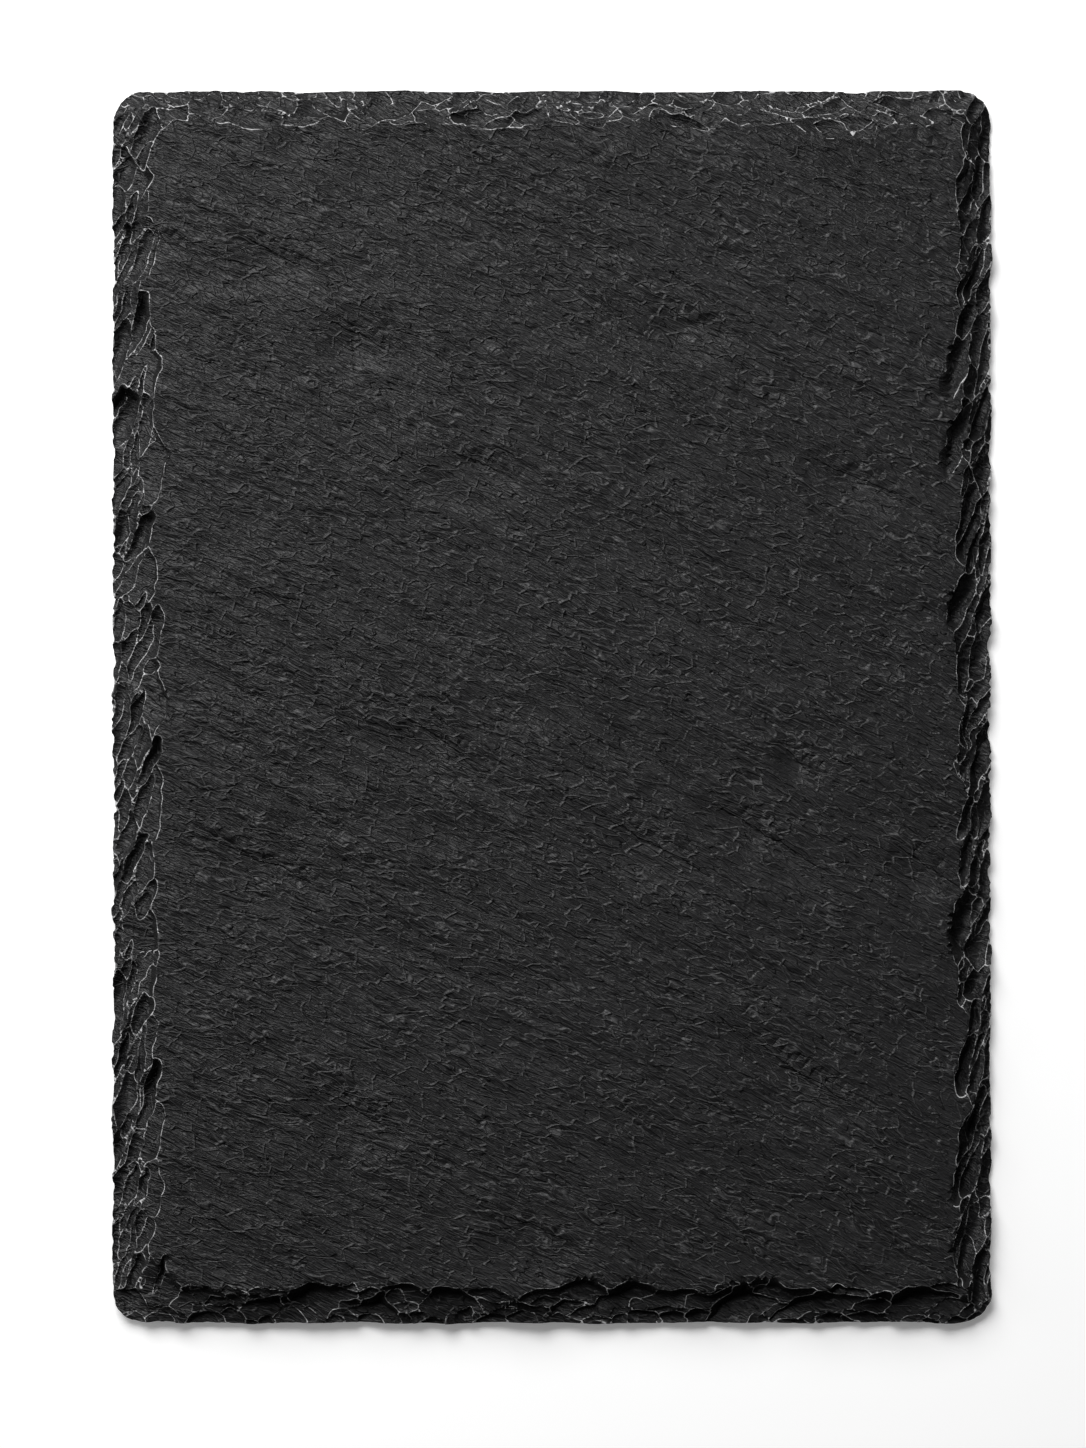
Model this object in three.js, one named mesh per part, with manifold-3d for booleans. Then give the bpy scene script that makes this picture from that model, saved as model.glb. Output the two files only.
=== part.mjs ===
// A hand-dressed slate plaque lying on its back: one slab with a riven face,
// whose four edges are chipped away from the face side by overlapping flakes.
// Millimetres. +Z comes out of the face, +Y points to the plaque's upper edge,
// and the origin is the middle of the flat back.
import * as THREE from "three";
import { mergeVertices } from "three/addons/utils/BufferGeometryUtils.js";
import Module from "manifold-3d";

// Driving dimensions of the slab
const WIDTH = 200;
const HEIGHT = 280;
const THICKNESS = 8;
const CORNER_RADIUS = 7.5;

// The outline wanders inwards by up to this much, in two waves round the slab
const OUTLINE_WANDER = 0.5;
const OUTLINE_WAVES = [
  { count: 23, share: 0.27, start: 1 },
  { count: 61, share: 0.23, start: 2.1 },
];
const OUTLINE_STEP = 8;
const CORNER_STEPS = 4;

// What is left of the blank between two flakes is a plain bevel
const BEVEL_REACH = 4.6;
const BEVEL_FLOOR = 4.4;

// Riven face: wide rolls and narrower ripples, both along the cleavage grain, each
// with its pitch across the grain, its depth, and how it sways as it runs
const GRAIN_ANGLE = THREE.MathUtils.degToRad(-27);
const ROLL = { pitch: 41, depth: 0.34, sway: 0.9, swayAlong: 150, swayAcross: Infinity, start: 0.6 };
const RIPPLE = { pitch: 13, depth: 0.2, sway: 1.5, swayAlong: 67, swayAcross: 91, start: 0 };
const GRAIN_CELL = { along: 26, across: 6.5 };

// Ledges and spalls on the face: [from x, from y, to x, to y, width, drop]. The
// face is lower on the left of the walk, most of all halfway along it
const LEDGES = [
  [-82, 100, -92, 111, 9, 0.55], [-53, 98, -73, 108, 14, 0.5], [-34, 78, -52, 89, 12, 0.5],
  [-6, 51, -28, 60, 13, 0.45], [-15, -14, -41, 4, 13, 0.5], [37, -39, 5, -21, 14, 0.5],
  [62, -37, 32, -19, 12, 0.45], [74, -94, 40, -72, 15, 0.55], [93, -41, 76, -30, 9, 0.45],
  [-48, 125, -64, 135, 10, 0.5], [-31, -97, -59, -83, 12, 0.45], [10, -123, -18, -111, 13, 0.45],
  [80, 47, 56, 58, 12, 0.4], [42, 83, 20, 93, 12, 0.45], [62, -18, 50, -7, 6, 0.5],
  [78, 134, 95, 126, 12, 0.6], [-92, 99, -70, 93, 10, 0.35], [-48, -42, -84, -27, 13, 0.45],
];

// Main flakes of each edge: [place along the edge, half length, reach inwards]
const LEFT_FLAKES = [
  [118, 5, 7.4], [105, 8, 9.4], [94, 4.5, 5.8], [85.5, 5, 7.4], [76, 7.5, 10],
  [63, 4.5, 8.6], [55, 10, 11.2], [41.5, 5, 7.4], [30, 8.5, 9.2], [17, 6, 7.4],
  [11, 3, 9.2], [1, 9, 11.4], [-8, 4, 6.6], [-21, 11.5, 10.2], [-32, 5, 6.8],
  [-41, 5, 7.8], [-49, 6.5, 9], [-63, 8.5, 8.4], [-74.5, 9, 9.4], [-93, 10, 11.1],
  [-107, 9, 10.6], [-117, 5.5, 6.8],
];
const RIGHT_FLAKES = [
  [129, 5, 7.4], [119, 7.5, 7.8], [110, 4, 6.3], [101.5, 5, 6.7], [94, 3.6, 7.4],
  [87.5, 4.4, 6.9], [77, 7.5, 6.9], [65, 5.5, 7.9], [57, 3.8, 6.7], [48.5, 6.5, 7.5],
  [38, 5.5, 5.4], [28.5, 7, 6.4], [15.5, 4.8, 7.5], [4, 6, 7.2], [-8.5, 9.5, 8.7],
  [-22, 5.5, 5.3], [-30, 5.2, 5.8], [-37, 3, 4.6], [-46, 7.2, 6.7], [-57, 4.6, 5],
  [-66, 5.4, 8.2], [-75, 6, 5.8], [-86, 4.8, 6], [-97, 7.6, 7.4], [-108, 5, 5],
  [-117, 6, 6.4],
];
const TOP_FLAKES = [
  [-85, 7, 7], [-75, 6.5, 8.6], [-63, 8, 6.6], [-43, 11.5, 8.8], [-25, 12, 5],
  [-5, 9, 7.4], [7, 7, 7.8], [21, 10, 8.4], [35.5, 5.5, 5.6], [46, 9, 8],
  [56, 5.2, 7.4], [70, 13, 8.6], [87, 8, 6.2],
];
const BOTTOM_FLAKES = [
  [-81, 8.5, 8.6], [-72, 4.4, 5.8], [-64.5, 6.6, 7], [-50, 10, 8.4], [-34.5, 9, 9.4],
  [-24, 6, 8.2], [-15, 7, 8.4], [3.5, 12, 9], [20.5, 8.6, 8.6], [35, 10, 7.6],
  [52.5, 10, 9], [67, 12, 7], [86, 8.4, 7.8],
];

// Flakes knocked off the corners: [x sign, y sign, slide along the corner, half length, reach]
const CORNER_FLAKES = [
  [-1, 1, -4, 11, 11.5], [-1, 1, 7, 6, 6],
  [1, 1, 0, 7, 6.5], [1, 1, 9, 8, 5.5],
  [1, -1, 2, 8, 8], [1, -1, -8, 6, 6.5],
  [-1, -1, 2, 11, 13], [-1, -1, -9, 7, 9.5],
];

// Main flakes leave the wall this high, run on a little past their read length,
// and lean to either side, on the left edge a little more to one side
const MAIN = {
  floor: [2.2, 3.6],
  overrun: 1.3,
  lean: [-0.16, 0.16],
  leftLean: -0.19,
};

// Smaller, lower flakes all round that trim the rim
const TRIM = {
  pitch: 9,
  stray: [-0.35, 0.35],
  reach: [3, 6],
  half: [2.6, 5.4],
  floor: [0.6, 1.7],
  lean: [-0.3, 0.3],
  rise: 3.6,
};

// Chips off the underside of the rim
const NICK = {
  pitch: 19,
  stray: [-0.4, 0.4],
  reach: [1.2, 2.6],
  half: [2, 4.4],
  height: [0.9, 1.6],
};

// How finely a flake's bowl is faceted: rings out from the struck point, and sides
const MAIN_FACETS = { rings: [0.6, 1.1], sides: 11 };
const TRIM_FACETS = { rings: [1.1], sides: 8 };
const LEDGE_FACETS = { rim: 1.4, sides: 8 };

// How far a cutter stands out past the slab
const CLEARANCE = 20;

const slateMaterial = new THREE.MeshStandardMaterial({
  color: 0x2e2e30,
  roughness: 0.62,
  metalness: 0,
});

const TURN = Math.PI * 2;

// One number for each use of pick, so that no two uses give the same run of values
const USES = {
  mainFloor: 1,
  trimPlace: 2,
  trimReach: 3,
  trimHalf: 4,
  trimFloor: 5,
  trimLean: 6,
  nickPlace: 7,
  nickReach: 8,
  nickHalf: 9,
  nickHeight: 10,
  mainLean: 11,
};

const wasm = await Module();
wasm.setup();

// A closed three.js geometry as a solid that can be joined and cut
function solid(geometry) {
  const bare = geometry.clone();
  bare.deleteAttribute("normal");
  bare.deleteAttribute("uv");
  const merged = mergeVertices(bare, 1e-4);
  return new wasm.Manifold(new wasm.Mesh({
    numProp: 3,
    vertProperties: Float32Array.from(merged.attributes.position.array),
    triVerts: Uint32Array.from(merged.index.array),
  }));
}

// A number between the two ends of a range, always the same for the same index
// and the same use
function pick([low, high], index, use) {
  const wave = Math.sin(index * 12.9898 + use * 78.233) * 43758.5453;
  return low + (high - low) * (wave - Math.floor(wave));
}

// The straight-sided outline with round corners, walked anticlockwise from the
// middle of the right edge
function plainOutline() {
  const path = new THREE.Path();
  const x = WIDTH / 2;
  const y = HEIGHT / 2;
  const r = CORNER_RADIUS;
  path.moveTo(x, 0);
  path.lineTo(x, y - r);
  path.absarc(x - r, y - r, r, 0, Math.PI / 2);
  path.lineTo(-x + r, y);
  path.absarc(-x + r, y - r, r, Math.PI / 2, Math.PI);
  path.lineTo(-x, -y + r);
  path.absarc(-x + r, -y + r, r, Math.PI, Math.PI * 1.5);
  path.lineTo(x - r, -y);
  path.absarc(x - r, -y + r, r, Math.PI * 1.5, Math.PI * 2);
  path.lineTo(x, 0);
  return path;
}

const outline = plainOutline();
const perimeter = outline.getLength();

// A place on the outline, and the direction from it straight into the slab
function edgePlace(share) {
  const at = outline.getPointAt(share);
  const along = outline.getTangentAt(share);
  return { x: at.x, y: at.y, inward: Math.atan2(along.x, -along.y) };
}

// Shares of the outline's length at which it is sampled, closer round the corners
function outlineShares() {
  const arc = (Math.PI / 2) * CORNER_RADIUS;
  const upright = HEIGHT - 2 * CORNER_RADIUS;
  const level = WIDTH - 2 * CORNER_RADIUS;
  const runs = [upright / 2, arc, level, arc, upright, arc, level, arc, upright / 2];
  const shares = [];
  let walked = 0;
  for (const run of runs) {
    const steps = run === arc ? CORNER_STEPS : Math.round(run / OUTLINE_STEP);
    for (let i = 0; i < steps; i += 1) {
      shares.push((walked + (run * i) / steps) / perimeter);
    }
    walked += run;
  }
  return shares;
}

// The outline, drawn in from its straight sides by two slow waves
function wanderingOutline() {
  return outlineShares().map((share) => {
    const { x, y, inward } = edgePlace(share);
    let swing = 0.5;
    for (const wave of OUTLINE_WAVES) {
      swing += wave.share * Math.sin(share * TURN * wave.count + wave.start);
    }
    const inset = OUTLINE_WANDER * swing;
    return new THREE.Vector2(x + Math.cos(inward) * inset, y + Math.sin(inward) * inset);
  });
}

function blank() {
  const shape = new THREE.Shape(wanderingOutline());
  return solid(new THREE.ExtrudeGeometry(shape, { depth: THICKNESS, bevelEnabled: false }));
}

// A long box whose underside is the bevel between the flakes of one straight edge
function bevelCutter(x, y, inward, length) {
  const slope = Math.atan2(THICKNESS - BEVEL_FLOOR, BEVEL_REACH);
  const cutter = new THREE.BoxGeometry(length + 2 * CLEARANCE, 2 * CLEARANCE, 2 * THICKNESS);
  cutter.translate(0, 0, THICKNESS);
  cutter.rotateX(slope);
  cutter.translate(0, 0, BEVEL_FLOOR);
  cutter.rotateZ(inward - Math.PI / 2);
  cutter.translate(x, y, 0);
  return solid(cutter);
}

function bevels() {
  const cutters = [];
  for (const side of [-1, 1]) {
    const inwardX = side > 0 ? Math.PI : 0;
    const inwardY = side > 0 ? -Math.PI / 2 : Math.PI / 2;
    cutters.push(bevelCutter((side * WIDTH) / 2, 0, inwardX, HEIGHT));
    cutters.push(bevelCutter(0, (side * HEIGHT) / 2, inwardY, WIDTH));
  }
  return cutters;
}

// Depth of one family of waves in the face, u along and v across the grain
function waveDepth({ pitch, depth, sway, swayAlong, swayAcross, start }, u, v) {
  const phase = (v / pitch) * TURN + sway * Math.sin((u / swayAlong + v / swayAcross) * TURN) + start;
  return (depth * (1 + Math.sin(phase))) / 2;
}

// Depth of the riven face under the slab's highest plane
function rivenDepth(u, v) {
  return waveDepth(ROLL, u, v) + waveDepth(RIPPLE, u, v);
}

// What lies over the riven face: a box whose underside has the face's relief
function overburden() {
  const span = Math.hypot(WIDTH, HEIGHT) + CLEARANCE;
  const columns = Math.round(span / GRAIN_CELL.along);
  const rows = Math.round(span / GRAIN_CELL.across);
  const box = new THREE.BoxGeometry(span, span, THICKNESS, columns, rows, 1);
  box.translate(0, 0, THICKNESS * 1.5);
  const places = box.attributes.position;
  for (let i = 0; i < places.count; i += 1) {
    if (places.getZ(i) < THICKNESS * 1.5) {
      places.setZ(i, THICKNESS - rivenDepth(places.getX(i), places.getY(i)));
    }
  }
  box.rotateZ(GRAIN_ANGLE);
  return solid(box);
}

function rivenDepthAt(x, y) {
  const along = x * Math.cos(GRAIN_ANGLE) + y * Math.sin(GRAIN_ANGLE);
  const across = -x * Math.sin(GRAIN_ANGLE) + y * Math.cos(GRAIN_ANGLE);
  return rivenDepth(along, across);
}

// A ledge: half of a flat cone, cut along its middle line. Its point is the
// ledge's deepest place, and it runs out to nothing at both ends and on the left
function ledge([x0, y0, x1, y1, width, drop]) {
  const middle = [(x0 + x1) / 2, (y0 + y1) / 2];
  const length = Math.hypot(x1 - x0, y1 - y0);
  const { rim, sides } = LEDGE_FACETS;
  const profile = [new THREE.Vector2(0, 0), new THREE.Vector2(rim, rim), new THREE.Vector2(0, rim)];
  const cone = new THREE.LatheGeometry(profile, sides);
  cone.rotateX(Math.PI / 2);
  cone.scale(length / 2, width, drop);
  const left = new THREE.BoxGeometry(2 * length, 2 * width, THICKNESS);
  left.translate(0, width, 0);
  for (const shape of [cone, left]) {
    shape.rotateZ(Math.atan2(y1 - y0, x1 - x0));
    shape.translate(...middle, THICKNESS - rivenDepthAt(...middle) - drop);
  }
  return solid(cone).intersect(solid(left));
}

// A flake's bowl: its height over the floor grows with the square of the distance
// from the struck point, and reaches the full rise on an ellipse of half by reach
function bowl({ x, y, inward, half, reach, floor, rise, lean = 0 }, { rings, sides }) {
  const last = rings[rings.length - 1];
  const profile = [new THREE.Vector2(0, 0)];
  for (const r of rings) {
    profile.push(new THREE.Vector2(r, r * r));
  }
  profile.push(new THREE.Vector2(0, last * last));
  const cutter = new THREE.LatheGeometry(profile, sides);
  cutter.rotateX(Math.PI / 2);
  cutter.scale(reach, half, rise);
  cutter.rotateZ(inward + lean);
  cutter.translate(x, y, floor);
  return cutter;
}

function mainFlake(place, index) {
  const floor = pick(MAIN.floor, index, USES.mainFloor);
  const half = place.half * MAIN.overrun;
  const lean = (place.lean ?? 0) + pick(MAIN.lean, index, USES.mainLean);
  return solid(bowl({ ...place, half, floor, rise: THICKNESS - floor, lean }, MAIN_FACETS));
}

function mainFlakes() {
  const places = [];
  for (const [at, half, reach] of LEFT_FLAKES) {
    places.push({ x: -WIDTH / 2, y: at, inward: 0, half, reach, lean: MAIN.leftLean });
  }
  for (const [at, half, reach] of RIGHT_FLAKES) {
    places.push({ x: WIDTH / 2, y: at, inward: Math.PI, half, reach });
  }
  for (const [at, half, reach] of TOP_FLAKES) {
    places.push({ x: at, y: HEIGHT / 2, inward: -Math.PI / 2, half, reach });
  }
  for (const [at, half, reach] of BOTTOM_FLAKES) {
    places.push({ x: at, y: -HEIGHT / 2, inward: Math.PI / 2, half, reach });
  }
  for (const [sx, sy, slide, half, reach] of CORNER_FLAKES) {
    const nip = CORNER_RADIUS * (1 - Math.SQRT1_2);
    const inward = Math.atan2(-sy, -sx);
    const x = sx * (WIDTH / 2 - nip) + (slide * sx) / Math.SQRT2;
    const y = sy * (HEIGHT / 2 - nip) - (slide * sy) / Math.SQRT2;
    places.push({ x, y, inward, half, reach });
  }
  return places.map(mainFlake);
}

// Places all round the rim, at an even pitch but each a little out of line
function rimPlaces({ pitch, stray }, use) {
  const count = Math.round(perimeter / pitch);
  const places = [];
  for (let i = 0; i < count; i += 1) {
    places.push(edgePlace((i + 0.5 + pick(stray, i, use)) / count));
  }
  return places;
}

function trimFlakes() {
  return rimPlaces(TRIM, USES.trimPlace).map((place, i) => solid(bowl({
    ...place,
    reach: pick(TRIM.reach, i, USES.trimReach),
    half: pick(TRIM.half, i, USES.trimHalf),
    floor: pick(TRIM.floor, i, USES.trimFloor),
    lean: pick(TRIM.lean, i, USES.trimLean),
    rise: TRIM.rise,
  }, TRIM_FACETS)));
}

// The chips under the rim are bowls turned upside down
function underNicks() {
  return rimPlaces(NICK, USES.nickPlace).map((place, i) => {
    const reach = pick(NICK.reach, i, USES.nickReach);
    const half = pick(NICK.half, i, USES.nickHalf);
    const cutter = bowl({ ...place, reach, half, floor: 0, rise: 1 }, TRIM_FACETS);
    cutter.scale(1, 1, -1);
    cutter.index.array.reverse();
    cutter.translate(0, 0, pick(NICK.height, i, USES.nickHeight));
    return solid(cutter);
  });
}

function slabGeometry() {
  let slab = blank().subtract(overburden());
  const cutters = [...bevels(), ...LEDGES.map(ledge), ...mainFlakes(), ...trimFlakes(), ...underNicks()];
  for (const cutter of cutters) {
    slab = slab.subtract(cutter);
  }
  const { vertProperties, triVerts } = slab.getMesh();
  const geometry = new THREE.BufferGeometry();
  geometry.setAttribute("position", new THREE.BufferAttribute(vertProperties, 3));
  geometry.setIndex(new THREE.BufferAttribute(triVerts, 1));
  return geometry;
}

const slab = new THREE.Mesh(slabGeometry(), slateMaterial);
slab.name = "slab";

const plaque = new THREE.Group();
plaque.add(slab);

export default plaque;
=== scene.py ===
"""A hand-dressed slate plaque on a pale floor, seen from straight above.

The slab is one closed surface. Its plan lattice, its riven face, its flakes and its
wall are worked out in millimetres and put into the mesh in metres.
"""

import math

import bpy
import numpy as np
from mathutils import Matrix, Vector


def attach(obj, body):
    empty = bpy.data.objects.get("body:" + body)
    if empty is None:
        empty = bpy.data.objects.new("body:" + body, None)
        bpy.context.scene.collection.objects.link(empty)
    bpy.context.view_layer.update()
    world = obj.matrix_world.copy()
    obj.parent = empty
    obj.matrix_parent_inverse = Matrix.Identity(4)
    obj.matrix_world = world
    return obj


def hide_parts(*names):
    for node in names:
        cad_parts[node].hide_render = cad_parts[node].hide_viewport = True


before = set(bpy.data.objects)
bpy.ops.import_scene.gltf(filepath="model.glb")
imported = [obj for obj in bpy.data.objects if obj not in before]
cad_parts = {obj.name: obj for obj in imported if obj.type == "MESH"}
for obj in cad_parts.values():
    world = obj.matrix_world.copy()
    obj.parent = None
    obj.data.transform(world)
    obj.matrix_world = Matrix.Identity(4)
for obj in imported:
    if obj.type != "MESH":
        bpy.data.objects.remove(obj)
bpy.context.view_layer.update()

MM = 0.001

# The slab, as the CAD has it
WIDTH = 200.0
HEIGHT = 280.0
THICKNESS = 8.0
CORNER_RADIUS = 7.5
HIGHEST = 7.985
OUTLINE_WANDER = 0.5
OUTLINE_WAVES = ((23, 0.27, 1.0), (61, 0.23, 2.1))
INSET_FADE = 6.0
BEVEL_REACH = 4.6
BEVEL_FLOOR = 4.4
LEAN = 0.26

# Crumbled bits out of the outline: length along it, depth
NIBBLE = (2.6, 0.45)
CRUMB = (0.9, 0.3)

# The riven face: pitch across the grain, depth, sway, sway along, sway across, start
GRAIN_ANGLE = math.radians(-27)
ROLL = (41.0, 0.34, 0.9, 150.0, math.inf, 0.6)
RIPPLE = (13.0, 0.2, 1.5, 67.0, 91.0, 0.0)

# Its finer swells: length along the grain, pitch across it, depth
SWELL = (15.0, 4.4, 0.22)
FINE_SWELL = (6.5, 2.2, 0.12)

# Ledges on the face: from x, from y, to x, to y, width, drop, lower on the walk's left
LEDGES = (
    (-82, 100, -92, 111, 9, 0.55), (-53, 98, -73, 108, 14, 0.5), (-34, 78, -52, 89, 12, 0.5),
    (-6, 51, -28, 60, 13, 0.45), (-15, -14, -41, 4, 13, 0.5), (37, -39, 5, -21, 14, 0.5),
    (62, -37, 32, -19, 12, 0.45), (74, -94, 40, -72, 15, 0.55), (93, -41, 76, -30, 9, 0.45),
    (-48, 125, -64, 135, 10, 0.5), (-31, -97, -59, -83, 12, 0.45), (10, -123, -18, -111, 13, 0.45),
    (80, 47, 56, 58, 12, 0.4), (42, 83, 20, 93, 12, 0.45), (62, -18, 50, -7, 6, 0.5),
    (78, 134, 95, 126, 12, 0.6), (-92, 99, -70, 93, 10, 0.35), (-48, -42, -84, -27, 13, 0.45),
)

# Main flakes of each edge: place along the edge, half length, reach inwards
LEFT_FLAKES = (
    (118, 5, 7.4), (105, 8, 9.4), (94, 4.5, 5.8), (85.5, 5, 7.4), (76, 7.5, 10),
    (63, 4.5, 8.6), (55, 10, 11.2), (41.5, 5, 7.4), (30, 8.5, 9.2), (17, 6, 7.4),
    (11, 3, 9.2), (1, 9, 11.4), (-8, 4, 6.6), (-21, 11.5, 10.2), (-32, 5, 6.8),
    (-41, 5, 7.8), (-49, 6.5, 9), (-63, 8.5, 8.4), (-74.5, 9, 9.4), (-93, 10, 11.1),
    (-107, 9, 10.6), (-117, 5.5, 6.8),
)
RIGHT_FLAKES = (
    (129, 5, 7.4), (119, 7.5, 7.8), (110, 4, 6.3), (101.5, 5, 6.7), (94, 3.6, 7.4),
    (87.5, 4.4, 6.9), (77, 7.5, 6.9), (65, 5.5, 7.9), (57, 3.8, 6.7), (48.5, 6.5, 7.5),
    (38, 5.5, 5.4), (28.5, 7, 6.4), (15.5, 4.8, 7.5), (4, 6, 7.2), (-8.5, 9.5, 8.7),
    (-22, 5.5, 5.3), (-30, 5.2, 5.8), (-37, 3, 4.6), (-46, 7.2, 6.7), (-57, 4.6, 5),
    (-66, 5.4, 8.2), (-75, 6, 5.8), (-86, 4.8, 6), (-97, 7.6, 7.4), (-108, 5, 5),
    (-117, 6, 6.4),
)
TOP_FLAKES = (
    (-85, 7, 7), (-75, 6.5, 8.6), (-63, 8, 6.6), (-43, 11.5, 8.8), (-25, 12, 5),
    (-5, 9, 7.4), (7, 7, 7.8), (21, 10, 8.4), (35.5, 5.5, 5.6), (46, 9, 8),
    (56, 5.2, 7.4), (70, 13, 8.6), (87, 8, 6.2),
)
BOTTOM_FLAKES = (
    (-81, 8.5, 8.6), (-72, 4.4, 5.8), (-64.5, 6.6, 7), (-50, 10, 8.4), (-34.5, 9, 9.4),
    (-24, 6, 8.2), (-15, 7, 8.4), (3.5, 12, 9), (20.5, 8.6, 8.6), (35, 10, 7.6),
    (52.5, 10, 9), (67, 12, 7), (86, 8.4, 7.8),
)

# How much higher the main flakes of each edge and of the corners bottom out
RAISED = {"left": 0.0, "right": 0.2, "top": 2.2, "bottom": 0.7, "corner": 0.7}

# Flakes off the corners: x sign, y sign, slide along the corner, half length, reach
CORNER_FLAKES = (
    (-1, 1, -4, 11, 11.5), (-1, 1, 7, 6, 6), (1, 1, 0, 7, 6.5), (1, 1, 9, 8, 5.5),
    (1, -1, 2, 8, 8), (1, -1, -8, 6, 6.5), (-1, -1, 2, 11, 13), (-1, -1, -9, 7, 9.5),
)

# The lattice: cells across and up, how many of them stay fine along the left, right, lower
# and upper edge of the face and of the back, and how many go into one coarse block of each
CELLS = (472, 664)
FACE_RING = (30, 22, 24, 24)
FACE_BLOCK = (4, 4)
BACK_RING = (2, 2, 2, 2)
BACK_BLOCK = (18, 20)
WALL_ROWS = 7
CORNER_CELLS = 26

# The sides of a flake, in degrees round its ellipse from straight inwards, and how steeply
# the stone rises past them: where they face away from the plaque's upper left corner, and how
# much more where they face it
SIDES = (-76, -42, 0, 42, 76)
WALL = 1.6
STEEPER = 0.9
UPPER_LEFT = math.radians(111)

# How much more a flake's floor rises inwards on both upright edges, how much more again on the
# right one, and how much more on the upper edge and less on the lower one
TILT_UPRIGHT = 0.07
TILT_RIGHT = 0.14
TILT_LEVEL = 0.1

# Level edges are those whose flakes point less than this share sideways; and how far in from
# the outline there are flakes
LEVEL = 0.8
BAND = 15

# How far a lattice point may move onto an arris or a foot, and how far apart the points are that
# slopes are taken from
ARRIS_PULL = 0.25
FOOT_PULL = 0.22
NEARBY = 0.004

# Distances that the finish reads: far from any line, on an arris, beside it, on the rim, and the
# most above or below a foot
FAR = 5.0
ON_ARRIS = 0.06
BESIDE_ARRIS = 0.12
ON_RIM = 0.07
FOOT_SPAN = 0.3

# The slate's colours: its two tones, a painted highlight on the lines of its scales, its cracks,
# the painted shade of its broken sides, and the crushed stone of its arrises, paler partly as a
# painted highlight
DEEP_TONE = (0.008, 0.008, 0.0084, 1)
HIGH_TONE = (0.0108, 0.0108, 0.0114, 1)
PAINTED_LINE_HIGHLIGHT = (0.1, 0.1, 0.102, 1)
CRACK_DARK = (0.002, 0.002, 0.002, 1)
PAINTED_WALL_SHADE = (0.001, 0.001, 0.001, 1)
CRUSHED_AND_HIGHLIGHT = (0.6, 0.6, 0.606, 1)
BUMP_DEPTH = 2.6

# The studio, in metres and watts: place, size and power of each lamp
KEY_LIGHT = ((-0.31, 0.77, 0.72), 0.8, 20.6)
SIDE_LIGHT = ((-0.75, 0.10, 0.24), 0.4, 1.3)
ROOM_GLOW = 0.02
FLOOR_SPAN = 3.0
FLOOR_DROP = 0.00002
FLOOR_WHITE = 0.95
FLOOR_GLOW = 0.22
CAMERA_PLACE = (-0.0020, -0.0038, 0.915)
LENS = 100

TURN = 2 * math.pi


# Numbers that look random but are the same on every run


def pick(low, high, index, use):
    """Between low and high: the part after the point of 43758.5453 times the sine of (12.9898
    index plus 78.233 use)."""
    wave = np.sin(index * 12.9898 + use * 78.233) * 43758.5453
    return low + (high - low) * (wave - np.floor(wave))


def knot(column, row, seed):
    """Between 0 and 1 at each point of a unit grid, by the same kind of rule as pick."""
    wave = np.sin(column * 127.1 + row * 311.7 + seed * 74.7) * 43758.5453
    return wave - np.floor(wave)


def noise(u, v, seed):
    """Knots of a unit grid, blended in each cell by the curve 3 t squared minus 2 t cubed."""
    column = np.floor(u)
    row = np.floor(v)
    s = u - column
    t = v - row
    s = s * s * (3 - 2 * s)
    t = t * t * (3 - 2 * t)
    low = knot(column, row, seed) * (1 - s) + knot(column + 1, row, seed) * s
    high = knot(column, row + 1, seed) * (1 - s) + knot(column + 1, row + 1, seed) * s
    return low * (1 - t) + high * t


def rough_noise(u, v, seed, octaves=3):
    """The sum of noises, each twice as fine and half as strong as the last, scaled to 0 to 1."""
    total = 0
    share = 0
    for octave in range(octaves):
        fine = 2**octave
        total = total + noise(u * fine + 17.3 * octave, v * fine, seed + octave) / fine
        share += 1 / fine
    return total / share


def smooth_step(low, high, x):
    """0 below low, 1 above high, and 3 t squared minus 2 t cubed between them."""
    t = np.clip((x - low) / (high - low), 0, 1)
    return t * t * (3 - 2 * t)


# The outline


def outline_length():
    """Twice the straight runs and a full turn of the corner radius."""
    return 2 * (WIDTH + HEIGHT - 4 * CORNER_RADIUS) + TURN * CORNER_RADIUS


def edge_frame(x, y):
    """For plan points: depth b inside the plain outline, share of its length walked
    anticlockwise from the middle of the right edge, and the outward direction."""
    r = CORNER_RADIUS
    ax = np.abs(x)
    ay = np.abs(y)
    qx = ax - (WIDTH / 2 - r)
    qy = ay - (HEIGHT / 2 - r)
    corner = (qx > 0) & (qy > 0)
    arm = np.maximum(np.hypot(qx, qy), 1e-9)
    upright = (WIDTH / 2 - ax) < (HEIGHT / 2 - ay)
    depth = np.where(corner, r - arm, np.minimum(WIDTH / 2 - ax, HEIGHT / 2 - ay))
    nx = np.where(corner, qx / arm, np.where(upright, 1.0, 0.0))
    ny = np.where(corner, qy / arm, np.where(upright, 0.0, 1.0))
    run = HEIGHT / 2 - r
    quarter = outline_length() / 4
    round_part = run + r * np.arctan2(np.maximum(qy, 0), np.maximum(qx, 1e-9))
    walked = np.where(corner, round_part, np.where(upright, np.minimum(ay, run), quarter - ax))
    right = x >= 0
    upper = y >= 0
    walked = np.where(
        upper,
        np.where(right, walked, 2 * quarter - walked),
        np.where(right, 4 * quarter - walked, 2 * quarter + walked),
    )
    return depth, walked / (4 * quarter), nx * np.where(right, 1, -1), ny * np.where(upper, 1, -1)


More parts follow.
